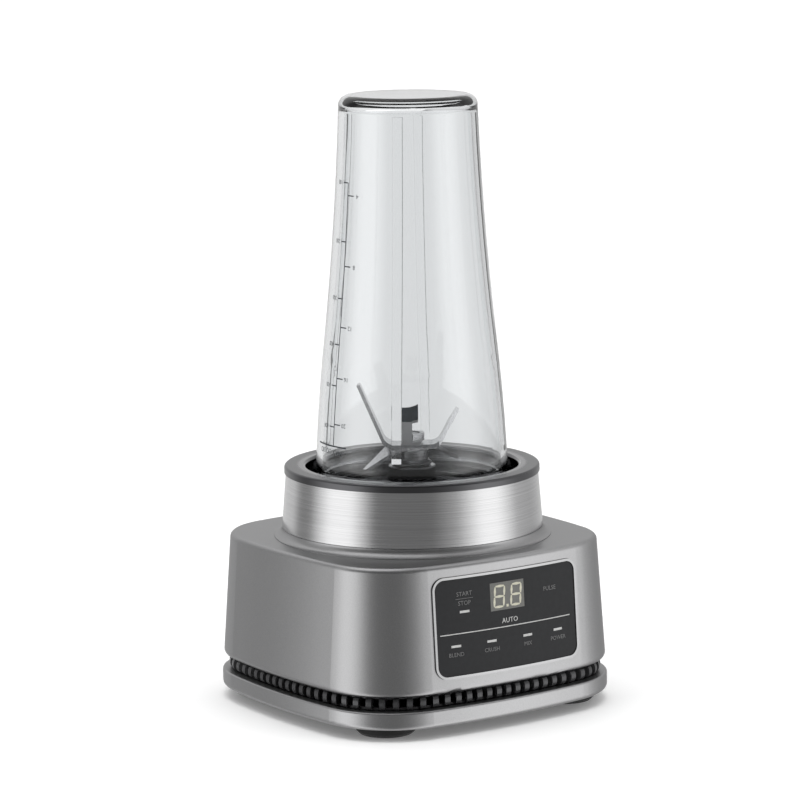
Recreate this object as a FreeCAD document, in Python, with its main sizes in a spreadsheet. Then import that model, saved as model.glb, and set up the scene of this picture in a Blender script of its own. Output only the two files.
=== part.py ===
import FreeCAD, Part
import math
import os
from types import SimpleNamespace

import Sketcher

# Personal countertop blender, millimetres, +Z up, standing on its feet at z = 0.
# The front, with the control panel, faces -Y. The origin is under the motor axis.
# The parts are: a plastic base with its motor and electronics, a clear cup that stands
# upside down in the well of the base, and the blade assembly screwed on its mouth.

doc = FreeCAD.newDocument("blender")
sheet = doc.addObject("Spreadsheet::Sheet", "sizes")

DRIVING = [
    # outer form of the base
    ("half_width", 75.9, "deck, centre to side"),
    ("half_depth", 74.5, "deck, centre to front"),
    ("side_radius", 330.0, "gentle crown of the four sides"),
    ("corner_radius", 35.3, "corners of the deck in plan"),
    ("flare", 4.2, "how far the body widens down to its lower edge"),
    ("foot_height", 5.0, ""),
    ("foot_radius", 14.0, ""),
    ("foot_reach", 20.0, "foot centre, outward from the corner's centre"),
    ("skirt_height", 8.5, ""),
    ("skirt_reach", 4.9, "skirt beyond the deck outline"),
    ("skirt_wall", 2.5, ""),
    ("vent_height", 6.5, "gap with the grille, between skirt and body"),
    ("body_height", 60.0, ""),
    ("shell_wall", 2.6, ""),
    ("deck_round", 2.5, ""),
    ("lower_round", 2.8, ""),
    # collar and well
    ("neck_height", 4.0, "flare that carries the collar"),
    ("collar_height", 26.2, ""),
    ("collar_reach", 9.7, "outer radius at the top, beyond the well's inside"),
    ("collar_spread", 2.1, "extra radius at the foot"),
    ("collar_wall", 1.0, ""),
    ("rim_height", 3.6, ""),
    ("rim_lip", 0.7, "rim beyond the collar"),
    ("well_radius", 50.7, "inside"),
    ("well_wall", 2.5, ""),
    ("well_floor", 3.0, ""),
    # bayonet
    ("flange_reach", 2.4, "bayonet flange, inward from the well's wall"),
    ("flange_height", 3.0, ""),
    ("flange_level", 11.0, "underside above the well's floor"),
    ("notch_angle", 24.0, "degrees"),
    ("tab_angle", 20.0, "degrees"),
    ("tab_height", 3.5, ""),
    ("twist_angle", 22.0, "degrees to lock"),
    # control panel
    ("panel_width", 83.0, ""),
    ("panel_height", 47.1, ""),
    ("panel_level", 50.55, "centre above the table"),
    ("panel_corner", 6.0, ""),
    ("bezel_width", 1.1, ""),
    ("bezel_proud", 0.8, ""),
    ("lens_proud", 0.35, ""),
    # motor
    ("shaft_radius", 4.0, ""),
    ("bearing_radius", 11.0, "608 ball bearing"),
    ("bearing_height", 7.0, ""),
    ("stator_width", 72.0, "along X"),
    ("stator_depth", 84.0, "along Y"),
    ("stator_height", 26.0, ""),
    ("stator_level", 44.0, "underside above the table"),
    ("stator_bore", 23.5, "radius"),
    ("air_gap", 0.7, "between rotor and poles"),
    ("fan_radius", 35.0, ""),
    ("commutator_radius", 13.0, ""),
    # cup and blade base
    ("cup_rise", 176.2, "closed end above the rim"),
    ("cup_rim_gap", 4.7, "between the cup's widest part and the well's wall"),
    ("cup_end_taper", 13.1, "how much narrower the cup is at its closed end"),
    ("cup_waist_taper", 4.7, "how much narrower it is where its two curves meet"),
    ("cup_waist_drop", 118.0, "waist below the closed end"),
    ("cup_upper_curve", 1550.0, ""),
    ("cup_lower_curve", 950.0, ""),
    ("cup_wall", 3.0, ""),
    ("cup_end_wall", 4.5, ""),
    ("cup_crown", 5.0, "round of the closed end"),
    ("thread_reach", 1.2, "thread height on the neck"),
    ("thread_pitch", 4.5, ""),
    ("cap_gap", 0.3, "blade base above the well's floor"),
    ("cap_height", 19.2, ""),
    ("cap_wall", 2.4, ""),
    ("cap_floor_level", 14.0, "floor inside the cup, above the well's floor"),
    ("cap_seat_level", 8.0, "gasket seat above the well's floor"),
    ("boss_radius", 11.5, ""),
    ("boss_height", 12.0, ""),
    ("blade_bearing_radius", 8.5, ""),
    ("coupling_radius", 11.0, "tips of the drive coupling"),
    ("coupling_teeth", 8.0, ""),
    ("blade_thickness", 1.6, ""),
    ("blade_bend", 5.0, "radius where the arms leave the hub"),
    ("blade_reach", 27.5, "lower blade, axis to tip"),
    # interlock
    ("plunger_radius", 1.8, ""),
    ("plunger_inset", 5.3, "axis of the pin, inward from the well's wall"),
    ("plunger_travel", 2.5, ""),
    # clearances
    ("part_gap", 0.3, "between pieces that move past each other"),
    ("fit_gap", 0.05, "running fits, on the radius"),
    ("seam", 0.1, "between pieces that are clipped together"),
]

for row, (alias, value, note) in enumerate(DRIVING, start=1):
    sheet.set(f"A{row}", note or alias.replace("_", " "))
    sheet.set(f"B{row}", str(value))
    sheet.setAlias(f"B{row}", alias)
doc.recompute()


class Size:
    """A number that remembers the spreadsheet expression it came from."""

    def __init__(self, value, text):
        self.value = value
        self.text = text

    def __add__(self, other):
        other = as_size(other)
        return Size(self.value + other.value, f"({self.text} + {other.text})")

    def __sub__(self, other):
        other = as_size(other)
        return Size(self.value - other.value, f"({self.text} - {other.text})")

    def __rsub__(self, other):
        return as_size(other) - self

    def __mul__(self, other):
        other = as_size(other)
        return Size(self.value * other.value, f"({self.text} * {other.text})")

    def __truediv__(self, other):
        other = as_size(other)
        return Size(self.value / other.value, f"({self.text} / {other.text})")

    def __neg__(self):
        return Size(-self.value, f"(0 - {self.text})")

    __radd__ = __add__
    __rmul__ = __mul__


def as_size(number):
    return number if isinstance(number, Size) else Size(float(number), repr(float(number)))


def cosine(angle):
    angle = as_size(angle)
    return Size(math.cos(math.radians(angle.value)), f"cos({angle.text})")


def sine(angle):
    angle = as_size(angle)
    return Size(math.sin(math.radians(angle.value)), f"sin({angle.text})")


def arc_tangent(ratio):
    return Size(math.degrees(math.atan(ratio.value)), f"(atan({ratio.text}) / 1 deg)")


def bind(target, path, number):
    target.setExpression(path, as_size(number).text)


dim = SimpleNamespace(**{alias: Size(sheet.get(alias), f"sizes.{alias}") for alias, _, _ in DRIVING})

# Levels above the table, from the feet up.
skirt_low = dim.foot_height
skirt_top = skirt_low + dim.skirt_height
body_low = skirt_top + dim.vent_height
deck = body_low + dim.body_height
neck_top = deck + dim.neck_height
rim_low = neck_top + dim.collar_height
rim_top = rim_low + dim.rim_height
cup_top = rim_top + dim.cup_rise
well_base = neck_top + dim.well_floor
stator_low = dim.stator_level
stator_top = stator_low + dim.stator_height

# Sizes that several pieces share.
screw_shank, screw_length = 1.7, 30
bolt_hole = 2.1
seal_stem = dim.shaft_radius + 3
collar_radius = dim.well_radius + dim.collar_reach
deck_hole = dim.well_radius + dim.well_wall - 0.7
bolt_x, bolt_y = dim.stator_width / 2 - 6, dim.stator_depth / 2 - 7
coil_near, coil_far = dim.stator_bore + 1, dim.stator_depth / 2 - 8.5
coil_inner, coil_outer, coil_turn = dim.stator_bore - 7.5, dim.stator_width / 2 - 10, 6
hub_radius = dim.bearing_radius + 3
bracket_radius = 41
mount_reach = 36
mount_places = [(mount_reach, 0), (0, mount_reach), (-mount_reach, 0), (0, -mount_reach)]

# Motor, from the bottom up.
shaft_low = skirt_low + 5.2
fan_low = skirt_low + 5.5
lower_bearing = stator_low - 23
lower_plate = stator_low - 20
commutator_low = lower_bearing + dim.bearing_height + 1
brush_low, brush_top = stator_low - 13, stator_low - 8
upper_bearing = neck_top - dim.bearing_height - 0.5
upper_plate = neck_top - 4.5
coupling_low = well_base + 2.6
coupling_top = coupling_low + 5.9

# Boards, cable entry and interlock.
board_y, board_low, board_post_x = -(dim.half_depth - 19.5), body_low + 6, 40
gland_level, gland_body, gland_flange = body_low + 10, 6, 8
gland_seat = dim.half_depth + dim.flare * (deck - gland_level) / dim.body_height - 0.6
plunger_orbit = dim.well_radius - dim.plunger_inset
switch_y, switch_height = plunger_orbit, 6.5
switch_top = neck_top - 6.7
plunger_low = switch_top + dim.plunger_travel + 0.3

# Blade base, cup and blades.
driven_radius = dim.coupling_radius + 4
cap_low = well_base + dim.cap_gap
cap_outer = dim.well_radius - dim.flange_reach - 0.7
cap_inner = cap_outer - dim.cap_wall
cap_turn, cup_turn = dim.twist_angle / 2 + 90, 45
cap_thread = cap_low + dim.cap_seat_level + 5.7
plunger_top = cap_low - 0.35 + dim.plunger_travel
gasket_height = 1.5
mouth_low = well_base + dim.cap_seat_level + gasket_height
neck_radius = cap_inner - dim.thread_reach - 0.6
step_radius = neck_radius - dim.cup_wall - 1.8
cup_radius = dim.well_radius - dim.cup_rim_gap
blade_shaft_low = coupling_top + 0.5
spacer_low = well_base + dim.cap_floor_level + dim.boss_height + 0.8
spacer_height, center_thickness, nut_height = 6.7, 1.4, 3.4
stack_top = spacer_low + spacer_height + dim.blade_thickness * 2 + center_thickness + nut_height

finished = []


# ---------------------------------------------------------------- building blocks

def place(piece, at=(0, 0, 0), turn=None, axis=(0, 0, 1)):
    """Put a piece at a point, turned about an axis through that point."""
    if turn is not None:
        piece.Placement = FreeCAD.Placement(
            FreeCAD.Vector(0, 0, 0), FreeCAD.Rotation(FreeCAD.Vector(*axis), as_size(turn).value))
        bind(piece, ".Placement.Rotation.Angle", turn)
    for name, coordinate in zip("xyz", at):
        bind(piece, f".Placement.Base.{name}", coordinate)
    return piece


def sub_part(piece, label):
    """Name a finished piece; it is written out under this name."""
    piece.Label = label
    finished.append(piece)
    return piece


def new_body(name, at=(0, 0, 0), turn=None, axis=(0, 0, 1)):
    return place(doc.addObject("PartDesign::Body", name), at, turn, axis)


def origin_feature(body, role):
    return next(feature for feature in body.Origin.OriginFeatures if feature.Role == role)


def new_sketch(body, plane="XY_Plane", offset=0):
    """A sketch on one of the body's own planes, moved along the plane's normal."""
    sketch = body.newObject("Sketcher::SketchObject", body.Name + "_sketch")
    sketch.AttachmentSupport = [(origin_feature(body, plane), "")]
    sketch.MapMode = "FlatFace"
    bind(sketch, ".AttachmentOffset.Base.z", offset)
    return sketch


def pin(sketch, element, point, across, along):
    """Fix one point of a sketch at two sizes from the origin."""
    for kind, size, axis in (("DistanceX", across, -2), ("DistanceY", along, -1)):
        size = as_size(size)
        if size.text == "0.0":
            sketch.addConstraint(Sketcher.Constraint("PointOnObject", element, point, axis))
        else:
            index = sketch.addConstraint(
                Sketcher.Constraint(kind, -1, 1, element, point, size.value))
            sketch.setExpression(f"Constraints[{index}]", size.text)


def set_radius(sketch, element, radius):
    radius = as_size(radius)
    index = sketch.addConstraint(Sketcher.Constraint("Radius", element, radius.value))
    sketch.setExpression(f"Constraints[{index}]", radius.text)


def draw_outline(sketch, points):
    """A closed outline. A point is (x, y), or (x, y, r) where an arc leads to the next
    point: r is positive for a left-hand arc and negative for a right-hand one."""
    corners = [tuple(as_size(part) for part in point) for point in points]
    ends = []
    first = sketch.GeometryCount
    for here, after in zip(corners, corners[1:] + corners[:1]):
        start = FreeCAD.Vector(here[0].value, here[1].value, 0)
        stop = FreeCAD.Vector(after[0].value, after[1].value, 0)
        if len(here) == 2:
            sketch.addGeometry(Part.LineSegment(start, stop), False)
            ends.append((1, 2))
            continue
        radius = here[2].value
        half = (stop - start).Length / 2
        left = FreeCAD.Vector(start.y - stop.y, stop.x - start.x, 0).normalize()
        reach = math.copysign(math.sqrt(radius * radius - half * half), radius)
        centre = (start + stop) / 2 + left * reach
        circle = Part.Circle(centre, FreeCAD.Vector(0, 0, 1), abs(radius))
        from_point, to_point = (start, stop) if radius > 0 else (stop, start)
        sketch.addGeometry(Part.ArcOfCircle(circle, circle.parameter(from_point),
                                            circle.parameter(to_point)), False)
        ends.append((1, 2) if radius > 0 else (2, 1))
    count = len(corners)
    for index, corner in enumerate(corners):
        after = (index + 1) % count
        sketch.addConstraint(Sketcher.Constraint(
            "Coincident", first + index, ends[index][1], first + after, ends[after][0]))
    for index, corner in enumerate(corners):
        pin(sketch, first + index, ends[index][0], corner[0], corner[1])
        if len(corner) == 3:
            size = corner[2] if corner[2].value > 0 else -corner[2]
            set_radius(sketch, first + index, size)


def draw_circle(sketch, radius, at=(0, 0)):
    centre = FreeCAD.Vector(as_size(at[0]).value, as_size(at[1]).value, 0)
    circle = Part.Circle(centre, FreeCAD.Vector(0, 0, 1), as_size(radius).value)
    element = sketch.addGeometry(circle, False)
    pin(sketch, element, 3, *at)
    set_radius(sketch, element, radius)


def draw_plan(sketch, reach):
    """The base's plan: four crowned sides and four tangent corners, moved out by reach."""
    side, corner = dim.side_radius + reach, dim.corner_radius + reach
    side_x, side_y = dim.half_width - dim.side_radius, dim.half_depth - dim.side_radius
    span = math.hypot(side_x.value, side_y.value)
    lean = math.sqrt((dim.side_radius - dim.corner_radius).value ** 2 - span ** 2 / 4) / span
    x = side_x.value / 2 - side_y.value * lean
    y = side_y.value / 2 - side_x.value * lean
    low, high = math.atan2(y, x - side_x.value), math.atan2(y - side_y.value, x)
    half_turn = math.pi
    arcs = [
        (side_x.value, 0, side, -low, low), (x, y, corner, low, high),
        (0, side_y.value, side, high, half_turn - high), (-x, y, corner, half_turn - high, half_turn - low),
        (-side_x.value, 0, side, half_turn - low, half_turn + low),
        (-x, -y, corner, half_turn + low, half_turn + high),
        (0, -side_y.value, side, half_turn + high, 2 * half_turn - high),
        (x, -y, corner, 2 * half_turn - high, 2 * half_turn - low),
    ]
    first = sketch.GeometryCount
    for centre_x, centre_y, radius, start, stop in arcs:
        circle = Part.Circle(FreeCAD.Vector(centre_x, centre_y, 0), FreeCAD.Vector(0, 0, 1), radius.value)
        sketch.addGeometry(Part.ArcOfCircle(circle, start, stop), False)
    for index in range(8):
        sketch.addConstraint(Sketcher.Constraint("Tangent", first + index, 2, first + (index + 1) % 8, 1))
    for index, (_, _, radius, _, _) in enumerate(arcs):
        set_radius(sketch, first + index, radius)
    pin(sketch, first, 3, side_x, 0)
    pin(sketch, first + 2, 3, 0, side_y)
    pin(sketch, first + 4, 3, -side_x, 0)
    pin(sketch, first + 6, 3, 0, -side_y)


def corner_centre():
    """Centre of the plan's corner arcs, as the sketch's tangency puts it."""
    side_x, side_y = dim.half_width - dim.side_radius, dim.half_depth - dim.side_radius
    inner = dim.side_radius - dim.corner_radius
    span = side_x * side_x + side_y * side_y
    inside = inner * inner / span - 0.25
    lean = Size(math.sqrt(inside.value), f"sqrt({inside.text})")
    return side_x / 2 - side_y * lean, side_y / 2 - side_x * lean


def draw_rounded(sketch, width, height, corner, centre_along):
    """An upright rectangle with round corners, centred on the sketch's vertical axis."""
    right, top, low = width / 2, centre_along + height / 2, centre_along - height / 2
    draw_outline(sketch, [
        (-right + corner, low), (right - corner, low, corner), (right, low + corner),
        (right, top - corner, corner), (right - corner, top), (-right + corner, top, corner),
        (-right, top - corner), (-right, low + corner, corner)])


def feature(body, kind, sketch, **sizes):
    """Add a sketch-based feature and make it the body's tip."""
    made = body.newObject(f"PartDesign::{kind}", f"{body.Name}_{kind}")
    made.Profile = sketch
    for name, value in sizes.items():
        if isinstance(value, bool):
            setattr(made, name, value)
        else:
            bind(made, name, value)
    body.Tip = made
    return made


def pad(body, sketch, height, **sizes):
    return feature(body, "Pad", sketch, Length=height, **sizes)


def pocket(body, sketch, depth, **sizes):
    return feature(body, "Pocket", sketch, Length=depth, **sizes)


def spin(body, kind, sketch):
    """Revolution or Groove of a sketch about its own vertical axis."""
    made = body.newObject(f"PartDesign::{kind}", f"{body.Name}_{kind}")
    made.Profile = sketch
    made.ReferenceAxis = (sketch, ["V_Axis"])
    made.Angle = 360
    body.Tip = made
    return made


def around(body, original, count):
    """Repeat a feature evenly about the body's own Z axis."""
    made = body.newObject("PartDesign::PolarPattern", body.Name + "_pattern")
    made.Originals = [original]
    made.Axis = (origin_feature(body, "Z_Axis"), [""])
    made.Angle = 360
    if isinstance(count, Size):
        bind(made, "Occurrences", count)
    else:
        made.Occurrences = count
    body.Tip = made
    return made


def turned(name, outline, at=(0, 0, 0), turn=None, axis=(0, 0, 1)):
    """A body of revolution: the outline is (radius, height) from the body's own origin."""
    body = new_body(name, at, turn, axis)
    sketch = new_sketch(body, "XZ_Plane")
    draw_outline(sketch, outline)
    spin(body, "Revolution", sketch)
    return body


def ring(name, inner, outer, height, at):
    return turned(name, [(inner, 0), (outer, 0), (outer, height), (inner, height)], at)


def round_edges(body, level, radius):
    """Round every edge of the body's tip that lies flat at one height above its origin."""
    doc.recompute()
    base = body.Tip
    height = as_size(level).value
    edges = [f"Edge{index}" for index, edge in enumerate(base.Shape.Edges, start=1)
             if abs(edge.BoundBox.ZMin - height) < 1e-4 and abs(edge.BoundBox.ZMax - height) < 1e-4]
    made = body.newObject("PartDesign::Fillet", body.Name + "_round")
    made.Base = (base, edges)
    bind(made, "Radius", radius)
    body.Tip = made
    return made


def block(name, size, at, turn=None, axis=(0, 0, 1)):
    piece = doc.addObject("Part::Box", name)
    for side, length in zip(("Length", "Width", "Height"), size):
        bind(piece, side, length)
    return place(piece, at, turn, axis)


def bar(name, radius, height, at, turn=None, axis=(0, 0, 1)):
    piece = doc.addObject("Part::Cylinder", name)
    bind(piece, "Radius", radius)
    bind(piece, "Height", height)
    return place(piece, at, turn, axis)


def cut(name, base, *tools):
    piece = doc.addObject("Part::Cut", name)
    piece.Base = base
    piece.Tool = tools[0] if len(tools) == 1 else fuse(name + "_tools", *tools)
    return piece


def fuse(name, *pieces):
    piece = doc.addObject("Part::MultiFuse", name)
    piece.Shapes = list(pieces)
    piece.Refine = True
    return piece


def common(name, *pieces):
    piece = doc.addObject("Part::MultiCommon", name)
    piece.Shapes = list(pieces)
    return piece


def together(name, *pieces):
    """Separate solids that are kept as one sub-part."""
    piece = doc.addObject("Part::Compound", name)
    piece.Links = list(pieces)
    return piece


def mirrored_places(x, y):
    return [(x, y), (-x, y), (-x, -y), (x, -y)]


def body_block(name, reach):
    """A solid with the body's tapered plan, its faces moved out by reach."""
    piece = new_body(name, (0, 0, body_low))
    sketch = new_sketch(piece)
    draw_plan(sketch, dim.flare + reach)
    pad(piece, sketch, dim.body_height, TaperAngle=-arc_tangent(dim.flare / dim.body_height))
    return piece


def panel_prism(name, margin):
    """The control panel's rounded rectangle, grown by margin, run through the front wall."""
    piece = new_body(name)
    sketch = new_sketch(piece, "XZ_Plane")
    corner = dim.panel_corner + margin
    draw_rounded(sketch, dim.panel_width + margin * 2, dim.panel_height + margin * 2, corner,
                 dim.panel_level)
    pad(piece, sketch, dim.half_depth * 2)
    return piece


def screw(name, at, length, shank, head, head_height, over=False):
    """A screw with a socket. It points up from its head, or down where over is set."""
    sign = -1 if over else 1
    body = turned(name, [
        (0, head_height * sign / 2), (head / 2, head_height * sign / 2), (head / 2, 0), (head, 0),
        (head, head_height * sign), (shank, head_height * sign),
        (shank, (head_height + length) * sign), (0, (head_height + length) * sign)], at)
    return body


# ---------------------------------------------------------------- outer base

def make_feet(x, y):
    outline = [(0, 0), (dim.foot_radius - 1.5, 0), (dim.foot_radius, 1.5),
               (dim.foot_radius, dim.foot_height), (0, dim.foot_height)]
    feet = [turned(f"foot_{index}", outline, (*spot, 0))
            for index, spot in enumerate(mirrored_places(x, y))]
    sub_part(together("feet", *feet), "rubber_feet")


def make_tray(x, y):
    """Bottom pan: floor, rim, four screw posts, two board posts and the air inlet."""
    floor = 2.5
    tray = new_body("tray", (0, 0, skirt_low))
    outer = new_sketch(tray)
    draw_plan(outer, dim.skirt_reach - dim.skirt_wall)
    pad(tray, outer, dim.skirt_height - 1.5)
    inner = new_sketch(tray, offset=floor)
    draw_plan(inner, dim.skirt_reach - dim.skirt_wall * 2)
    pocket(tray, inner, dim.skirt_height, Reversed=True)
    posts = new_sketch(tray, offset=1)
    for spot in mirrored_places(x, y):
        draw_circle(posts, 5.5, spot)
    pad(tray, posts, dim.skirt_height + dim.vent_height - 1)
    board_posts = new_sketch(tray, offset=1)
    for side in (-1, 1):
        draw_circle(board_posts, 4, (side * board_post_x, board_y))
    pad(tray, board_posts, board_low - skirt_low - 1)
    heads = new_sketch(tray, offset=floor)
    holes = new_sketch(tray, offset=dim.skirt_height + dim.vent_height)
    for spot in mirrored_places(x, y):
        draw_circle(heads, 4, spot)
        draw_circle(holes, screw_shank + 0.2, spot)
    pocket(tray, heads, floor)
    pocket(tray, holes, dim.skirt_height + dim.vent_height)
    slot = new_sketch(tray, offset=floor)
    draw_rounded(slot, 4, 18, 1.9, 22)
    around(tray, pocket(tray, slot, floor), 12)
    sub_part(tray, "base_tray")


def make_skirt():
    skirt = new_body("skirt", (0, 0, skirt_low))
    outer = new_sketch(skirt)
    draw_plan(outer, dim.skirt_reach)
    pad(skirt, outer, dim.skirt_height)
    round_edges(skirt, 0, 2.5)
    round_edges(skirt, dim.skirt_height, 1)
    inner = new_sketch(skirt)
    draw_plan(inner, dim.skirt_reach - dim.skirt_wall)
    pocket(skirt, inner, dim.skirt_height - 1.5, Reversed=True)
    through = new_sketch(skirt)
    draw_plan(through, dim.skirt_reach - dim.skirt_wall * 2)
    pocket(skirt, through, dim.skirt_height, Reversed=True)
    sub_part(skirt, "skirt_band")


def make_vent_grille():
    """Upright fins with rounded noses, held by two flat rings set back behind them."""
    plate, fin_count, fin_wide = 1.2, 88, 2.7
    back, front, nose = -4.5, 1.6, 2.9
    rings = []
    for name, level in (("lower", 0), ("upper", dim.vent_height - plate)):
        flat = new_body(f"vent_{name}", (0, 0, skirt_top + level))
        outline = new_sketch(flat)
        draw_plan(outline, front - nose)
        pad(flat, outline, plate)
        opening = new_sketch(flat)
        draw_plan(opening, back)
        pocket(flat, opening, plate, Reversed=True)
        rings.append(flat)
    fins = new_body("vent_fins", (0, 0, skirt_top))
    fin = new_sketch(fins)
    near, far = dim.half_width - 18, dim.half_width + dim.corner_radius
    draw_outline(fin, [(near, -fin_wide / 2), (far, -fin_wide / 2),
                       (far, fin_wide / 2), (near, fin_wide / 2)])
    around(fins, pad(fins, fin, dim.vent_height), fin_count)
    band = new_body("vent_band", (0, 0, skirt_top))
    outline = new_sketch(band)
    draw_plan(outline, front)
    pad(band, outline, dim.vent_height)
    round_edges(band, 0, nose)
    round_edges(band, dim.vent_height, nose)
    opening = new_sketch(band)
    draw_plan(opening, back)
    pocket(band, opening, dim.vent_height, Reversed=True)
    sub_part(fuse("grille", *rings, common("vent_trimmed", fins, band)), "vent_grille")


def make_housing(x, y):
    """Painted shell: tapered body, neck for the collar, screw bosses, panel opening."""
    taper = -arc_tangent(dim.flare / dim.body_height)
    shell = new_body("housing", (0, 0, body_low))
    outer = new_sketch(shell)
    draw_plan(outer, dim.flare)
    pad(shell, outer, dim.body_height, TaperAngle=taper)
    round_edges(shell, dim.body_height, dim.deck_round)
    round_edges(shell, 0, dim.lower_round)
    neck = new_sketch(shell, "XZ_Plane")
    foot, top = collar_radius + dim.collar_spread + dim.neck_height, collar_radius + dim.collar_spread
    low = dim.body_height - 1.5
    draw_outline(neck, [
        (deck_hole, low), (foot, low), (foot, dim.body_height + 0.3, -dim.neck_height),
        (top, dim.body_height + dim.neck_height), (deck_hole, dim.body_height + dim.neck_height)])
    spin(shell, "Revolution", neck)
    inside = new_sketch(shell)
    draw_plan(inside, dim.flare - dim.shell_wall)
    pocket(shell, inside, dim.body_height - dim.shell_wall, Reversed=True, TaperAngle=taper)
    hole = new_sketch(shell)
    draw_circle(hole, deck_hole)
    pocket(shell, hole, dim.body_height + dim.neck_height * 2, Reversed=True)
    bosses = new_sketch(shell)
    for spot in mirrored_places(x, y):
        draw_circle(bosses, 5, spot)
    pad(shell, bosses, dim.body_height - dim.shell_wall / 2)
    pilots = new_sketch(shell)
    for spot in mirrored_places(x, y):
        draw_circle(pilots, screw_shank + dim.fit_gap, spot)
    pocket(shell, pilots, screw_length, Reversed=True)
    window = new_sketch(shell, "XZ_Plane")
    draw_rounded(window, dim.panel_width + dim.seam * 2, dim.panel_height + dim.seam * 2,
                 dim.panel_corner + dim.seam, dim.panel_level - body_low)
    pocket(shell, window, dim.half_depth * 2, Reversed=True)
    entry = new_sketch(shell, "XZ_Plane")
    draw_circle(entry, gland_body, (0, gland_level - body_low))
    pocket(shell, entry, dim.half_depth * 2)
    face = new_sketch(shell, "XZ_Plane", offset=-gland_seat)
    draw_circle(face, gland_flange + 0.3, (0, gland_level - body_low))
    pocket(shell, face, dim.half_depth)
    sub_part(shell, "main_housing")


def make_housing_screws(x, y):
    screws = [screw(f"housing_screw_{index}", (*spot, skirt_low + 0.3), screw_length, screw_shank, 3.6, 2.2)
              for index, spot in enumerate(mirrored_places(x, y))]
    sub_part(together("case_screws", *screws), "housing_screws")


def make_collar():
    low, top = collar_radius + dim.collar_spread, collar_radius
    wall = dim.collar_wall
    sub_part(turned("collar", [
        (low - wall, 0), (low - 0.3, 0), (low, 0.3),
        (top, dim.collar_height), (top - wall, dim.collar_height)], (0, 0, neck_top)), "collar_sleeve")


def make_well():
    """The cup's seat: rim, wall, floor, bayonet flange with four notches, switch bosses."""
    inside, wall = dim.well_radius, dim.well_radius + dim.well_wall
    rim = collar_radius + dim.rim_lip
    foot = collar_radius - dim.collar_wall - 0.2
    top, floor = rim_top - neck_top, dim.well_floor
    well = turned("well", [
        (seal_stem, 0), (foot, 0), (foot, 2.4), (wall, 2.4), (wall, dim.collar_height),
        (rim, dim.collar_height), (rim, top - 1.2, 1.2), (rim - 1.2, top),
        (inside + 1.5, top, 1.5), (inside, top - 1.5), (inside, floor), (seal_stem, floor)],
        (0, 0, neck_top))
    flange = new_sketch(well, "XZ_Plane")
    level = floor + dim.flange_level
    reach = inside - dim.flange_reach
    draw_outline(flange, [(reach, level), (inside + 0.5, level), (inside + 0.5, level + dim.flange_height),
                          (reach, level + dim.flange_height)])
    spin(well, "Revolution", flange)
    notch = new_sketch(well, offset=level + dim.flange_height)
    start, stop = 45 - dim.notch_angle / 2, 45 + dim.notch_angle / 2
    near = reach - 2
    draw_outline(notch, [
        (near * cosine(start), near * sine(start)), (inside * cosine(start), inside * sine(start), inside),
        (inside * cosine(stop), inside * sine(stop)), (near * cosine(stop), near * sine(stop))])
    around(well, pocket(well, notch, dim.flange_height), 4)
    bosses = new_sketch(well)
    for side in (-1, 1):
        draw_circle(bosses, 2.2, (side * 7, switch_y + 1.5))
    pad(well, bosses, neck_top - switch_top, Reversed=True)
    holes = new_sketch(well, offset=floor)
    for spot in mount_places:
        draw_circle(holes, bolt_hole, spot)
    draw_circle(holes, dim.plunger_radius + 0.25, (0, plunger_orbit))
    pocket(well, holes, floor)
    sub_part(well, "cup_well")


def make_well_seal():
    shaft = dim.shaft_radius + 0.15
    sub_part(turned("lip_seal", [
        (shaft, 0.5), (seal_stem, 0.5), (seal_stem, dim.well_floor), (seal_stem + 2.5, dim.well_floor),
        (seal_stem + 2.5, dim.well_floor + 1), (shaft + 1.5, dim.well_floor + 1.8),
        (shaft, dim.well_floor + 1.8)], (0, 0, neck_top)), "well_seal")


def make_gland():
    gland = turned("gland", [
        (3.6, -7), (gland_body - 0.1, -7), (gland_body - 0.1, 0), (gland_flange, 0), (gland_flange, 1),
        (gland_flange - 0.6, 1.6), (3.6, 1.6)], (0, gland_seat + 0.1, gland_level), -90, (1, 0, 0))
    sub_part(gland, "cable_gland")


# ---------------------------------------------------------------- control panel

def panel_layer(name, margin, front, back, opening=None):
    """A curved plate that follows the front wall, between two distances from its face."""
    shape = common(name + "_plate", panel_prism(name + "_outline", margin),
                   cut(name + "_band", body_block(name + "_front", front),
                       body_block(name + "_back", back)))
    if opening is None:
        return shape
    return cut(name + "_frame", shape, panel_prism(name + "_opening", opening))


def make_panel():
    sub_part(panel_layer("bezel", 0, dim.bezel_proud, -dim.shell_wall, -dim.bezel_width), "panel_bezel")
    sub_part(panel_layer("lens", -dim.bezel_width - dim.seam, dim.lens_proud, -dim.shell_wall + 0.6),
             "panel_lens")
    sub_part(panel_layer("carrier", 3, -dim.shell_wall - dim.seam, -dim.shell_wall - 2.4, -5),
             "panel_carrier")
    board_x, board_z = dim.panel_width - 14, dim.panel_height - 9
    board_sag = board_x * board_x / (dim.side_radius * 8)
    board_front = -(dim.half_depth - board_sag - 4.8)
    sub_part(block("touch", (board_x, 1.6, board_z),
                   (-board_x / 2, board_front, dim.panel_level - board_z / 2)), "touch_board")
    display_front = -(dim.half_depth - 2.4)
    sub_part(block("digits", (19.4, board_front - display_front, 13),
                   (-10.3, display_front, dim.panel_level + 5)), "display_module")
    guide_z = dim.panel_level - 9.2
    guide = (4.4, board_front - display_front - 0.1, 1.6)
    guides = [block(f"guide_{index}", guide, (x, display_front, guide_z))
              for index, x in enumerate((-32.4, -12.8, 8.0, 26.5))]
    guides.append(block("guide_run", guide, (-27, display_front, dim.panel_level + 6.4)))
    sub_part(together("guides", *guides), "light_guides")


# ---------------------------------------------------------------- electronics

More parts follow.
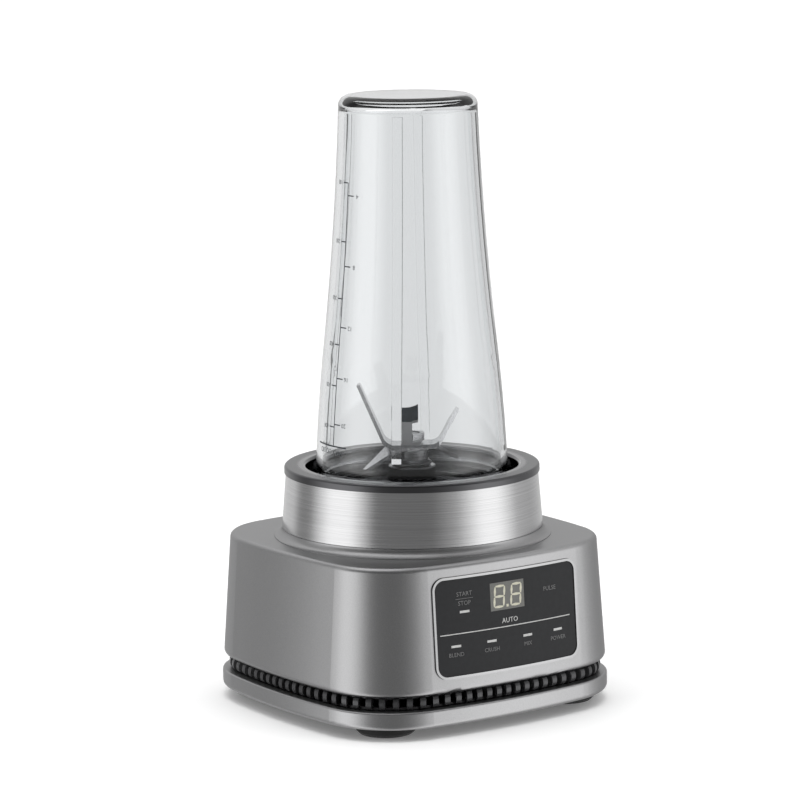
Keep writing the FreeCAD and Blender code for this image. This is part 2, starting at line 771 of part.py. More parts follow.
def make_electronics():
    wide, tall = 92, 42
    sub_part(block("board", (wide, 1.6, tall), (-wide / 2, board_y - 0.8, board_low)), "control_board")
    back = board_y + 0.8
    parts = [
        bar("capacitor", 5.5, 20, (-30, back + 5.5, board_low + 10)),
        block("relay", (16, 9, 19), (-20, back, board_low + 8)),
        block("transformer", (22, 9.5, 18), (2, back, board_low + 12)),
        block("heat_sink", (12, 9, 24), (29, back, board_low + 8)),
        block("terminal", (26, 7.5, 8), (-30, back - 1.6 - 7.5, board_low + 4)),
    ]
    sub_part(together("components", *parts), "power_components")


# ---------------------------------------------------------------- motor, fixed parts

def crossed_arms(name, level, height, width):
    """Two bars that cross over the axis and end at the motor's bolts."""
    angle = arc_tangent(bolt_y / bolt_x)
    reach = Size(math.hypot(bolt_x.value, bolt_y.value),
                 f"sqrt({bolt_x.text}^2 + {bolt_y.text}^2)")
    arms = []
    for index, turn in enumerate((angle, -angle)):
        arm = new_body(f"{name}_{index}", (0, 0, level), turn)
        sketch = new_sketch(arm)
        draw_outline(sketch, [(-reach, -width / 2), (reach, -width / 2, width * 0.52),
                              (reach, width / 2), (-reach, width / 2, width * 0.52)])
        pad(arm, sketch, height)
        arms.append(arm)
    return arms


def make_bracket(label, plate_low, plate_height, bearing_low, hub_low, hub_high, post_low, post_high):
    """A die-cast end bracket: bearing hub, round plate, arms and four posts for the bolts."""
    hub = turned(label + "_hub", [
        (dim.shaft_radius + 1.5, 0), (hub_radius, 0), (hub_radius, hub_high - hub_low),
        (dim.shaft_radius + 1.5, hub_high - hub_low)], (0, 0, hub_low))
    plate = bar(label + "_plate", bracket_radius, plate_height, (0, 0, plate_low))
    posts = [bar(f"{label}_post_{index}", 4, post_high - post_low, (*spot, post_low))
             for index, spot in enumerate(mirrored_places(bolt_x, bolt_y))]
    arms = crossed_arms(label + "_arm", plate_low, plate_height, 8)
    solid = fuse(label + "_solid", hub, plate, *posts, *arms)
    seat = bar(label + "_seat", dim.bearing_radius, dim.bearing_height, (0, 0, bearing_low))
    bore = bar(label + "_bore", dim.shaft_radius + 1.5, 80, (0, 0, hub_low - 10))
    bolts = [bar(f"{label}_hole_{index}", bolt_hole, 80, (*spot, post_low - 10))
             for index, spot in enumerate(mirrored_places(bolt_x, bolt_y))]
    windows = []
    for index in range(4):
        window = new_body(f"{label}_window_{index}", (0, 0, plate_low - 5), 90 * index)
        sketch = new_sketch(window)
        draw_outline(sketch, [(hub_radius + 3, -5), (bracket_radius - 9, -7), (bracket_radius - 9, 7),
                              (hub_radius + 3, 5)])
        pad(window, sketch, plate_height + 10)
        windows.append(window)
    return cut(label, solid, seat, bore, *bolts, *windows)


def make_motor_frame():
    upper = make_bracket("upper_frame", upper_plate, 2.2, upper_bearing, upper_bearing,
                         upper_bearing + dim.bearing_height, stator_top, upper_plate)
    holes = [bar(f"mount_hole_{index}", bolt_hole, 10, (*spot, upper_plate - 5))
             for index, spot in enumerate(mount_places)]
    sub_part(cut("upper_frame_bored", upper, *holes), "motor_upper_bracket")
    sub_part(make_bracket("lower_frame", lower_plate, 2.8, lower_bearing, lower_bearing - 1,
                          lower_bearing + dim.bearing_height, lower_plate, stator_low),
             "motor_lower_bracket")


def make_stator():
    """Laminated core with two poles; each pole's neck carries one field coil."""
    core = new_body("core", (0, 0, stator_low))
    outline = new_sketch(core)
    right, back, corner = dim.stator_width / 2, dim.stator_depth / 2, 6
    draw_outline(outline, [
        (-right + corner, -back), (right - corner, -back, corner), (right, -back + corner),
        (right, back - corner, corner), (right - corner, back), (-right + corner, back, corner),
        (-right, back - corner), (-right, -back + corner, corner)])
    draw_circle(outline, dim.stator_bore)
    for x_sign in (-1, 1):
        for y_sign in (-1, 1):
            near, far = coil_inner * x_sign, coil_outer * x_sign
            low, high = coil_near * y_sign, coil_far * y_sign
            draw_outline(outline, [(near, low), (far, low), (far, high), (near, high)])
    for spot in mirrored_places(bolt_x, bolt_y):
        draw_circle(outline, bolt_hole, spot)
    pad(core, outline, dim.stator_height)
    sub_part(core, "stator_core")


def make_field_coils():
    coils = []
    for index, side in enumerate((-1, 1)):
        gap = dim.part_gap
        coil = new_body(f"coil_{index}", (0, side * (coil_near + coil_far) / 2, 0))
        outer = new_sketch(coil, "XZ_Plane")
        inner = new_sketch(coil, "XZ_Plane")
        middle = stator_low + dim.stator_height / 2
        thick = coil_far - coil_near - gap * 2
        draw_rounded(outer, (coil_outer - gap) * 2, dim.stator_height + coil_turn * 2, 5, middle)
        draw_rounded(inner, (coil_inner + gap) * 2, dim.stator_height + gap * 2, 1, middle)
        pad(coil, outer, thick, Midplane=True)
        pocket(coil, inner, thick, Midplane=True)
        coils.append(coil)
    sub_part(together("coils", *coils), "field_coils")


def make_bearings():
    bore = dim.shaft_radius + dim.fit_gap
    for label, level in (("upper_bearing", upper_bearing), ("lower_bearing", lower_bearing)):
        outer, height, chamfer = dim.bearing_radius, dim.bearing_height, 0.4
        sub_part(turned(label, [
            (bore, 0), (bore + 2, 0), (bore + 2.2, 0.4), (outer - 2.2, 0.4), (outer - 2, 0),
            (outer - chamfer, 0), (outer, chamfer),
            (outer, height - chamfer), (outer - chamfer, height), (outer - 2, height),
            (outer - 2.2, height - 0.4), (bore + 2.2, height - 0.4), (bore + 2, height), (bore, height)],
            (0, 0, level)), label)


def make_brushes():
    holders, brushes, springs = [], [], []
    inner, outer = dim.commutator_radius + 1, 32
    plate_top = lower_plate + 2.8
    for index, turn in enumerate((0, 180)):
        case = block(f"holder_case_{index}", (outer - inner, 8, brush_top - plate_top + 1.5),
                     (inner * (1 - 2 * index), -4 * (1 - 2 * index), plate_top), turn)
        hole = block(f"holder_hole_{index}", (outer - inner, 5, brush_top - brush_low),
                     ((inner - 2) * (1 - 2 * index), -2.5 * (1 - 2 * index), brush_low), turn)
        holders.append(cut(f"holder_{index}", case, hole))
        start = dim.commutator_radius + 0.12
        brushes.append(block(f"brush_{index}", (10, 4.8, brush_top - brush_low - 0.2),
                             (start * (1 - 2 * index), -2.4 * (1 - 2 * index), brush_low + 0.1), turn))
        springs.append(coil_spring(f"brush_spring_{index}", 1.7, 0.6, 1.4, outer - 13 - start,
                                   ((start + 10.3) * (1 - 2 * index), 0, (brush_low + brush_top) / 2),
                                   90 * (1 - 2 * index), (0, 1, 0)))
    sub_part(together("holders", *holders), "brush_holders")
    sub_part(together("brushes", *brushes), "carbon_brushes")
    sub_part(together("springs", *springs), "brush_springs")


def coil_spring(name, radius, wire, pitch, height, at, turn=None, axis=(0, 0, 1)):
    """A compression spring: one eight-sided wire swept along a helix."""
    helix = doc.addObject("Part::Helix", name + "_path")
    bind(helix, "Radius", radius)
    bind(helix, "Pitch", pitch)
    bind(helix, "Height", height)
    section = doc.addObject("Part::RegularPolygon", name + "_wire")
    section.Polygon = 8
    bind(section, "Circumradius", as_size(wire) / 2)
    section.Placement = FreeCAD.Placement(FreeCAD.Vector(0, 0, 0),
                                          FreeCAD.Rotation(FreeCAD.Vector(1, 0, 0), 90))
    bind(section, ".Placement.Base.x", radius)
    spring = doc.addObject("Part::Sweep", name)
    spring.Sections = [section]
    spring.Spine = (helix, ["Edge1"])
    spring.Solid = True
    spring.Frenet = True
    return place(spring, at, turn, axis)


def make_mounts():
    height = neck_top - upper_plate - 2.2
    mounts = [ring(f"mount_{index}", bolt_hole, 6, height, (*spot, upper_plate + 2.2))
              for index, spot in enumerate(mount_places)]
    sub_part(together("mounts", *mounts), "motor_mounts")
    shank = bolt_hole - 0.15
    bolt_length = upper_plate - lower_plate + 2
    bolts = [screw(f"through_bolt_{index}", (*spot, lower_plate - 2.2), bolt_length, shank, 3.4, 2.2)
             for index, spot in enumerate(mirrored_places(bolt_x, bolt_y))]
    hangers = [screw(f"hanger_{index}", (*spot, well_base + 2.2), 10, shank, 3.5, 2.2, over=True)
               for index, spot in enumerate(mount_places)]
    sub_part(together("screws", *bolts, *hangers), "motor_screws")


def make_shroud():
    """Duct ring round the fan; the air leaves through its windows to the grille."""
    inner = dim.fan_radius + 2.5
    low = skirt_low + 2.5
    wall = ring("shroud_wall", inner, inner + 2, lower_plate - low - 0.5, (0, 0, low))
    windows = [block("shroud_window_x", (inner * 2 + 10, 16, 6.5), (-inner - 5, -8, low + 3)),
               block("shroud_window_y", (16, inner * 2 + 10, 6.5), (-8, -inner - 5, low + 3))]
    sub_part(cut("shroud", wall, *windows), "fan_shroud")


# ---------------------------------------------------------------- rotor

def make_rotor():
    shaft, length = dim.shaft_radius, coupling_top - shaft_low - 0.2
    sub_part(turned("spindle", [
        (0, 0), (shaft - 0.5, 0), (shaft, 0.5), (shaft, length - 0.5), (shaft - 0.5, length), (0, length)],
        (0, 0, shaft_low)), "motor_shaft")
    core_radius = dim.stator_bore - dim.air_gap
    core = new_body("armature", (0, 0, stator_low + 0.5))
    face = new_sketch(core)
    draw_circle(face, core_radius)
    draw_circle(face, shaft)
    pad(core, face, dim.stator_height - 1)
    slot = new_sketch(core)
    draw_outline(slot, [(core_radius - 7, -1.2), (core_radius + 1, -1.2), (core_radius + 1, 1.2),
                        (core_radius - 7, 1.2)])
    around(core, pocket(core, slot, dim.stator_height, Reversed=True), 12)
    sub_part(core, "rotor_core")
    domes = []
    for name, level, sign in (("lower", stator_low + 0.5, -1), ("upper", stator_top - 0.5, 1)):
        domes.append(turned(f"winding_{name}", [
            (shaft, 0), (core_radius - 1.5, 0), (core_radius - 2.5, 3 * sign),
            (core_radius - 7, 5.5 * sign), (shaft, 5.5 * sign)], (0, 0, level)))
    sub_part(together("windings", *domes), "rotor_windings")
    bars = new_body("segments", (0, 0, commutator_low))
    face = new_sketch(bars)
    draw_circle(face, dim.commutator_radius)
    draw_circle(face, shaft)
    pad(bars, face, stator_low - 5.2 - commutator_low)
    slot = new_sketch(bars)
    edge = dim.commutator_radius
    draw_outline(slot, [(edge - 1, -0.3), (edge + 1, -0.3), (edge + 1, 0.3), (edge - 1, 0.3)])
    around(bars, pocket(bars, slot, 20, Reversed=True), 24)
    sub_part(bars, "commutator")
    make_fan()


def make_fan():
    fan = turned("impeller", [
        (dim.shaft_radius, 0), (dim.fan_radius, 0), (dim.fan_radius, 1.4), (9, 1.4), (9, 8),
        (dim.shaft_radius, 8)], (0, 0, fan_low))
    blade = new_sketch(fan, offset=1)
    draw_outline(blade, [(12, -0.6), (dim.fan_radius - 0.5, 4.4), (dim.fan_radius - 0.5, 5.8), (12, 0.9)])
    around(fan, pad(fan, blade, 6.5), 11)
    sub_part(fan, "cooling_fan")


def draw_teeth(sketch, tip, root, count, width):
    """A splined outline: count teeth of one width, standing out from root to tip."""
    step = 360 / count.value
    points = []
    for index in range(int(count.value)):
        middle = index * step
        start, stop = middle - width / 2, middle + width / 2
        points.append((root * cosine(start), root * sine(start)))
        points.append((tip * cosine(start), tip * sine(start)))
        points.append((tip * cosine(stop), tip * sine(stop)))
        points.append((root * cosine(stop), root * sine(stop)))
    draw_outline(sketch, points)


def make_couplings():
    tip, root = dim.coupling_radius, dim.coupling_radius - 2.5
    drive = new_body("drive", (0, 0, coupling_low))
    teeth = new_sketch(drive)
    draw_teeth(teeth, tip, root, dim.coupling_teeth, 20)
    pad(drive, teeth, coupling_top - coupling_low)
    bore = new_sketch(drive)
    draw_circle(bore, dim.shaft_radius)
    pocket(drive, bore, coupling_top - coupling_low, Reversed=True)
    sub_part(drive, "drive_coupling")

    gap = 0.4
    socket_top = coupling_top + gap
    driven = turned("driven", [(0, 0), (driven_radius, 0), (driven_radius, socket_top - coupling_low + 1.1),
                               (driven_radius - 1, socket_top - coupling_low + 2.1),
                               (0, socket_top - coupling_low + 2.1)], (0, 0, coupling_low + 0.3))
    socket = new_sketch(driven)
    draw_teeth(socket, tip + gap, root + gap, dim.coupling_teeth, 25)
    pocket(driven, socket, socket_top - coupling_low - 0.3, Reversed=True)
    bore = new_sketch(driven)
    draw_circle(bore, dim.shaft_radius)
    pocket(driven, bore, 40, Reversed=True)
    sub_part(driven, "driven_coupling")


# ---------------------------------------------------------------- interlock

def make_interlock():
    """Spring-loaded pin in the well's floor; the locked cup presses it on its switch."""
    stem = dim.plunger_radius
    top = plunger_top - plunger_low
    flange = neck_top - plunger_low - dim.part_gap
    sub_part(turned("plunger", [
        (0, 0), (stem, 0), (stem, flange - 1.2), (stem + 1.2, flange - 1.2), (stem + 1.2, flange),
        (stem, flange), (stem, top - stem, stem), (0, top)], (0, plunger_orbit, plunger_low)),
        "interlock_plunger")
    spring_low = switch_top + 0.4
    sub_part(coil_spring("return_spring", stem + 0.65, 0.6, 1.3, plunger_low + flange - 1.6 - spring_low,
                         (0, plunger_orbit, spring_low)), "plunger_spring")
    wide, deep = 20, 9
    sub_part(block("micro_switch", (wide, deep, switch_height),
                   (-wide / 2, switch_y - deep / 2, switch_top - switch_height)), "safety_switch")


# ---------------------------------------------------------------- blade base

def thread_ridge(body, root, tip, level, turns):
    """One helical ridge; root and tip are radii, level is the height where it starts."""
    sketch = new_sketch(body, "XZ_Plane")
    foot, crest = 0.8, 0.45
    draw_outline(sketch, [(root, level - foot), (tip, level - crest), (tip, level + crest),
                          (root, level + foot)])
    ridge = body.newObject("PartDesign::AdditiveHelix", body.Name + "_thread")
    ridge.Profile = sketch
    ridge.ReferenceAxis = (sketch, ["V_Axis"])
    ridge.Mode = 0
    bind(ridge, "Pitch", dim.thread_pitch)
    bind(ridge, "Height", dim.thread_pitch * turns)
    body.Tip = ridge


def make_blade_base():
    """Screw-on base of the cup: thread wall, gasket seat, raised floor, boss and bayonet tabs."""
    floor = dim.cap_floor_level - dim.cap_gap
    seat = dim.cap_seat_level - dim.cap_gap
    under = floor - 2.4
    top = floor + dim.boss_height
    bore = dim.blade_bearing_radius
    cavity = driven_radius + 1.5
    cap = turned("cap", [
        (cap_outer - 4.4, 0), (cap_outer, 0), (cap_outer, dim.cap_height - 0.6),
        (cap_outer - 0.6, dim.cap_height), (cap_inner, dim.cap_height), (cap_inner, seat),
        (step_radius, seat), (step_radius, floor - 1, 1), (step_radius - 1, floor),
        (dim.boss_radius + 2, floor, -2),
        (dim.boss_radius, floor + 2), (dim.boss_radius, top - 0.8, 0.8), (dim.boss_radius - 0.8, top),
        (bore, top), (bore, under), (cavity, under), (cavity, 2.7), (cavity + 2, 2.7), (cavity + 2, under),
        (step_radius - 2.6, under), (step_radius - 2.6, seat - 2.4), (cap_outer - 4.4, seat - 2.4)],
        (0, 0, cap_low), cap_turn)
    tab_top = dim.flange_level - 0.5 - dim.cap_gap
    tab = new_sketch(cap, offset=tab_top - dim.tab_height)
    inner, outer = cap_outer - 0.5, dim.well_radius - 0.5
    start, stop = 45 - cap_turn - dim.tab_angle / 2, 45 - cap_turn + dim.tab_angle / 2
    draw_outline(tab, [
        (inner * cosine(start), inner * sine(start)), (outer * cosine(start), outer * sine(start), outer),
        (outer * cosine(stop), outer * sine(stop)), (inner * cosine(stop), inner * sine(stop), -inner)])
    around(cap, pad(cap, tab, dim.tab_height), 4)
    half = plunger_orbit * sine(dim.twist_angle / 2)
    slope = dim.plunger_travel / (half * 2)
    ramp = new_sketch(cap, "YZ_Plane", offset=plunger_orbit + 4)
    draw_outline(ramp, [(-half - 4, -1), (half + as_size(1) / slope, -1), (-half, dim.plunger_travel),
                        (-half - 4, dim.plunger_travel)])
    pocket(cap, ramp, 8)
    thread_ridge(cap, cap_inner + 0.2, cap_inner - dim.thread_reach, cap_thread - cap_low, 1)
    sub_part(cap, "blade_base")


def make_blade_bearing():
    bore, outer = dim.shaft_radius + dim.fit_gap, dim.blade_bearing_radius - dim.fit_gap
    low = well_base + dim.cap_floor_level - 2.4
    high = well_base + dim.cap_floor_level + dim.boss_height - 0.6
    sub_part(ring("sleeve", bore, outer, high - low, (0, 0, low)), "blade_bearing")
    sub_part(ring("boss_seal", dim.shaft_radius + 0.2, dim.blade_bearing_radius, 0.8, (0, 0, high + 0.1)),
             "shaft_seal")


def make_gasket():
    sub_part(ring("gasket", step_radius + 0.4, cap_inner - 0.4, gasket_height - 0.3,
                  (0, 0, well_base + dim.cap_seat_level + 0.15)), "cup_gasket")


# ---------------------------------------------------------------- cup

def make_cup():
    """Clear cup, mouth down: a hollow curve above a full one, closed end, thread, four ribs."""
    wall, end = dim.cup_wall, cup_top - mouth_low
    waist = end - dim.cup_waist_drop
    shoulder = cap_low + dim.cap_height + 0.6 - mouth_low
    wide = shoulder + 4.7
    mouth, middle = cup_radius, cup_radius - dim.cup_waist_taper
    tip = cup_radius - dim.cup_end_taper
    upper, lower, crown, inner_crown = dim.cup_upper_curve, dim.cup_lower_curve, dim.cup_crown, 3.5
    inner_end = end - dim.cup_end_wall
    cup = turned("tumbler", [
        (neck_radius - wall, 0), (neck_radius, 0), (neck_radius, shoulder, 5.5), (mouth, wide, lower),
        (middle, waist, -upper), (tip, end - crown, crown), (tip - crown, end), (0, end),
        (0, inner_end), (tip - wall - inner_crown, inner_end, -inner_crown),
        (tip - wall, inner_end - inner_crown, upper), (middle - wall, waist, -lower),
        (mouth - wall, wide + 1), (neck_radius - wall, shoulder - 1)], (0, 0, mouth_low), cup_turn)
    rib = new_sketch(cup, "XZ_Plane")
    low, high, proud = wide + 6, inner_end - 4, wall + 2
    outer = wall / 2
    draw_outline(rib, [
        (mouth - outer, low, lower), (middle - outer, waist, -upper), (tip - outer, high),
        (tip - proud, high, upper), (middle - proud, waist, -lower), (mouth - proud, low + 5)])
    around(cup, pad(cup, rib, 4.5, Midplane=True), 4)
    between = (cap_turn - cup_turn) / 360 + 0.5
    thread_ridge(cup, neck_radius - 0.2, neck_radius + dim.thread_reach,
                 cap_thread - dim.thread_pitch * between - mouth_low, 1.2)
    sub_part(cup, "cup")


# ---------------------------------------------------------------- blades

def bent_blade(name, level, turn, arms, hub, width, tip_width):
    """A flat strip with a hole and two arms bent out of its plane.

    arms holds (reach, rise) of the right and of the left arm; hub is half the flat."""
    thick = dim.blade_thickness
    body = new_body(name, (0, 0, level), turn)
    profile = new_sketch(body, "XZ_Plane")
    lower, upper = [], []
    for side, (reach, rise) in zip((1, -1), arms):
        slope = arc_tangent(as_size(rise) / (reach - hub))
        lower.append([(side * as_size(hub), 0), (side * as_size(reach), rise)])
        upper.append([(side * (reach - thick * sine(slope)), rise + thick * cosine(slope)),
                      (side * (hub - thick * sine(slope / 2) / cosine(slope / 2)), thick)])
    draw_outline(profile, [lower[0][0], lower[0][1], upper[0][0], upper[0][1],
                           upper[1][1], upper[1][0], lower[1][1], lower[1][0]])
    strip = pad(body, profile, width, Midplane=True)
    doc.recompute()
    bends = [f"Edge{index}" for index, edge in enumerate(strip.Shape.Edges, start=1)
             if edge.BoundBox.XLength < 1e-6 and edge.BoundBox.ZLength < 1e-6
             and abs(edge.BoundBox.XMin) < as_size(hub).value + 1]
    fillet = body.newObject("PartDesign::Fillet", name + "_bends")
    fillet.Base = (strip, bends)
    bind(fillet, "Radius", dim.blade_bend)
    body.Tip = fillet
    plan = new_body(name + "_plan", (0, 0, level - 60), turn)
    outline = new_sketch(plan)
    half = as_size(width) / 2
    right, left = arms[0][0] + 1, arms[1][0] + 1
    draw_outline(outline, [
        (-as_size(hub), -half), (hub, -half), (right, -half + width - tip_width * 1.6),
        (right, half - tip_width * 0.2), (hub, half), (-as_size(hub), half),
        (-left, half - width + tip_width * 1.6), (-left, -half + tip_width * 0.2)])
    pad(plan, outline, 160)
    bore = bar(name + "_bore", dim.shaft_radius, 20, (0, 0, level - 5))
    return cut(name + "_bored", common(name + "_trimmed", body, plan), bore)


def make_blades():
    thick = dim.blade_thickness
    length = stack_top - blade_shaft_low - 0.4
    sub_part(turned("blade_spindle", [
        (0, 0), (dim.shaft_radius, 0), (dim.shaft_radius, length - 0.6), (dim.shaft_radius - 0.6, length),
        (0, length)], (0, 0, blade_shaft_low)), "blade_shaft")
    sub_part(turned("collet", [
        (dim.shaft_radius, 0), (9.5, 0), (9.5, 0.8), (7.5, 2), (7.5, spacer_height),
        (dim.shaft_radius, spacer_height)], (0, 0, spacer_low)), "blade_spacer")
    low = spacer_low + spacer_height
    sub_part(bent_blade("down_blade", low, -5, [(dim.blade_reach, -8), (dim.blade_reach, -8)], 11, 11, 1.6),
             "lower_blade")
    sub_part(bent_blade("up_blade", low + thick, -35.4, [(22.8, 17), (25.8, 30)], 13, 14, 4), "upper_blade")
    make_center_blade(low + thick * 2)
    nut = doc.addObject("Part::Prism", "hex")
    nut.Polygon = 6
    bind(nut, "Circumradius", dim.shaft_radius + 2.6)
    bind(nut, "Height", nut_height)
    place(nut, (0, 0, stack_top - nut_height))
    thread = bar("nut_bore", dim.shaft_radius, nut_height * 2, (0, 0, stack_top - nut_height * 1.5))
    sub_part(cut("nut", nut, thread), "blade_nut")


def make_center_blade(level):
    """A U of sheet steel: a base strip under the nut and two upright cutters, one taller."""
    thick = center_thickness
    spread = dim.shaft_radius + 4.8
    blade = new_body("fork", (0, 0, level), 54.6)
    base = new_sketch(blade)
    draw_rounded(base, spread * 2, 10, 1, 0)
    draw_circle(base, dim.shaft_radius)
    pad(blade, base, thick)
    head = 8
    for start, top in ((spread - thick, 15.8), (-spread, 19.7)):
        prong = new_sketch(blade, "YZ_Plane", offset=start)
        draw_outline(prong, [
            (-0.4, 0), (3.9, 0), (3.9, top - head), (4.9, top - head + 0.6), (4.9, top - 1.4, -12),
            (-3.2, top), (-3.2, top - head + 0.6), (-0.4, top - head)])
        pad(blade, prong, thick)
    sub_part(blade, "center_blade")


# ---------------------------------------------------------------- assembly

def make_blender():
    centre_x, centre_y = corner_centre()
    outward = dim.foot_reach * math.sqrt(0.5)
    foot_x, foot_y = centre_x + outward, centre_y + outward
    make_feet(foot_x, foot_y)
    make_tray(foot_x, foot_y)
    make_skirt()
    make_vent_grille()
    make_housing(foot_x, foot_y)
    make_housing_screws(foot_x, foot_y)
    make_collar()
    make_well()
    make_well_seal()
    make_gland()
    make_panel()
    make_electronics()
    make_motor_frame()
    make_stator()
    make_field_coils()
    make_bearings()
    make_brushes()
    make_mounts()
    make_shroud()
    make_rotor()
    make_couplings()
    make_interlock()
    make_blade_base()
    make_blade_bearing()
    make_gasket()
    make_cup()
    make_blades()


def check_and_write():
    """Stop on any failed object or bad shape, then write one file per sub-part."""
    doc.recompute()
    for item in doc.Objects:
        if {"Invalid", "Error"} & set(item.State):
            raise RuntimeError(f"{item.Name} ({item.Label}) failed: {item.State}")
    labels = [piece.Label for piece in finished]
    if len(set(labels)) != len(labels):
        raise RuntimeError("two sub-parts share a name")
    os.makedirs("parts", exist_ok=True)
    for piece in finished:
        if piece.Shape.isNull() or not piece.Shape.isValid() or not piece.Shape.Solids:
            raise RuntimeError(f"{piece.Label} has no valid solid")
        piece.Shape.exportStep(os.path.join("parts", piece.Label + ".step"))
    print(f"{len(finished)} sub-parts written")


make_blender()
check_and_write()
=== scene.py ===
import math

import bpy
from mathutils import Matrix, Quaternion, Vector


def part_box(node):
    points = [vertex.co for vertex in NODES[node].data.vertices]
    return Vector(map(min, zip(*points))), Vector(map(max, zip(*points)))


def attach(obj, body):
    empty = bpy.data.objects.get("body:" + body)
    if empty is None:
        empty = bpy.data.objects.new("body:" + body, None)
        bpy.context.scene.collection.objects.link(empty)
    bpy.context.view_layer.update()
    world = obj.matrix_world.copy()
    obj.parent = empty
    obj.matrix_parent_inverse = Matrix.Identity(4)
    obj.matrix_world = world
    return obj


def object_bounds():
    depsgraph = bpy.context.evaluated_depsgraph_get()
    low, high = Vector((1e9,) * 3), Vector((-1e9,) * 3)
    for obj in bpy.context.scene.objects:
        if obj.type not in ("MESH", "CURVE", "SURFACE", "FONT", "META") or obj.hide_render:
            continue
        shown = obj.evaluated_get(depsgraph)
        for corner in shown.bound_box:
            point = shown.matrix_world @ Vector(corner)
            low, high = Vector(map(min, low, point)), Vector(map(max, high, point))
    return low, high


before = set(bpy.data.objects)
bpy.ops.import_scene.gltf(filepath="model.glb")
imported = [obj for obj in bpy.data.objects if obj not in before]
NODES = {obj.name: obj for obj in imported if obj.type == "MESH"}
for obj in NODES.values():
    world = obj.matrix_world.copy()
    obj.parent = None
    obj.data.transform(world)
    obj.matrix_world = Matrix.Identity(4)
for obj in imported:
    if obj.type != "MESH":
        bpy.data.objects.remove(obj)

MM = 0.001
MICRON = 0.000001
cad_low, cad_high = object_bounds()


# ---------------------------------------------------------------- shader helpers

class Finish:
    """One material with a Principled shader and short ways to add pattern to it."""

    def __init__(self, name, colour, rough, metal=0.0, **sockets):
        self.material = bpy.data.materials.new(name)
        self.material.use_nodes = True
        self.tree = self.material.node_tree
        self.shader = self.tree.nodes["Principled BSDF"]
        self.where = None
        self.put("Base Color", (*colour, 1.0))
        self.put("Roughness", rough)
        self.put("Metallic", metal)
        for socket, value in sockets.items():
            self.put(socket.replace("_", " "), value)

    def put(self, socket, value):
        self.shader.inputs[socket].default_value = value

    def node(self, kind, **settings):
        made = self.tree.nodes.new(kind)
        for key, value in settings.items():
            setattr(made, key, value)
        return made

    def join(self, source, target):
        self.tree.links.new(source, target)

    def place(self, scale=(1, 1, 1)):
        """Object coordinates, stretched."""
        if self.where is None:
            self.where = self.node("ShaderNodeTexCoord")
        mapping = self.node("ShaderNodeMapping")
        mapping.inputs["Scale"].default_value = scale
        self.join(self.where.outputs["Object"], mapping.inputs["Vector"])
        return mapping.outputs["Vector"]

    def noise(self, scale, stretch=(1, 1, 1), detail=3.0, rough=0.5):
        made = self.node("ShaderNodeTexNoise")
        made.inputs["Scale"].default_value = scale
        made.inputs["Detail"].default_value = detail
        made.inputs["Roughness"].default_value = rough
        self.join(self.place(stretch), made.inputs["Vector"])
        return made.outputs["Fac"]

    def span(self, value, low, high, start=0.3, stop=0.7):
        """Map a pattern between two levels onto two wanted values."""
        made = self.node("ShaderNodeMapRange")
        made.inputs["From Min"].default_value = start
        made.inputs["From Max"].default_value = stop
        made.inputs["To Min"].default_value = low
        made.inputs["To Max"].default_value = high
        self.join(value, made.inputs["Value"])
        return made.outputs["Result"]

    def tint(self, value, dark, light, start=0.35, stop=0.65):
        """Colour the surface from dark to light as a pattern rises from start to stop."""
        ramp = self.node("ShaderNodeValToRGB")
        for element, position, colour in zip(ramp.color_ramp.elements, (start, stop), (dark, light)):
            element.position = position
            element.color = (*colour, 1)
        self.join(value, ramp.inputs["Fac"])
        self.join(ramp.outputs["Color"], self.shader.inputs["Base Color"])

    def roughen(self, value, low, high):
        self.join(self.span(value, low, high), self.shader.inputs["Roughness"])

    def bump(self, value, depth, strength):
        made = self.node("ShaderNodeBump")
        made.inputs["Distance"].default_value = depth
        made.inputs["Strength"].default_value = strength
        self.join(value, made.inputs["Height"])
        self.join(made.outputs["Normal"], self.shader.inputs["Normal"])


def shades(colour, dark, light):
    """A darker and a lighter copy of a colour, for the two ends of a pattern."""
    return [part * dark for part in colour], [part * light for part in colour]


def grained(name, colour, rough, grain, depth, metal=0.0, change=0.12, **sockets):
    """A moulded, cast or printed surface: fine grain in its gloss, colour and relief."""
    made = Finish(name, colour, rough, metal, **sockets)
    fine = made.noise(grain)
    made.tint(fine, *shades(colour, 1 - change, 1 + change))
    made.roughen(fine, rough * 0.85, rough * 1.15)
    made.bump(fine, depth, strength=0.6)
    return made.material


def brushed(name, colour, rough, stretch, depth):
    """Metal with parallel brush lines, which run across the axis with the largest stretch."""
    made = Finish(name, colour, rough, metal=1.0)
    lines = made.noise(1.0, stretch, detail=4.0, rough=0.65)
    made.tint(lines, *shades(colour, 0.86, 1.08))
    made.roughen(lines, rough * 0.75, rough * 1.3)
    made.bump(lines, depth, strength=0.5)
    return made.material


def silver_paint():
    """Satin metallic paint: fine flakes under a trace of clear coat."""
    made = Finish("silver_paint", (0.45, 0.45, 0.455), 0.33, metal=1.0, Coat_Weight=0.1, Coat_Roughness=0.1,
                  Specular_Tint=(0.6, 0.6, 0.6, 1))
    flakes = made.noise(2400)
    made.tint(flakes, (0.42, 0.42, 0.425), (0.5, 0.5, 0.505), 0.3, 0.7)
    made.roughen(flakes, 0.33, 0.39)
    made.bump(made.noise(500, detail=1.0), 6 * MICRON, strength=0.15)
    return made.material


def clear_plastic():
    """Clear moulded copolyester with a trace of haze."""
    made = Finish("clear_cup", (0.97, 0.98, 0.985), 0.012, IOR=1.52, Transmission_Weight=1.0)
    made.roughen(made.noise(60, detail=2.0), 0.006, 0.02)
    return made.material


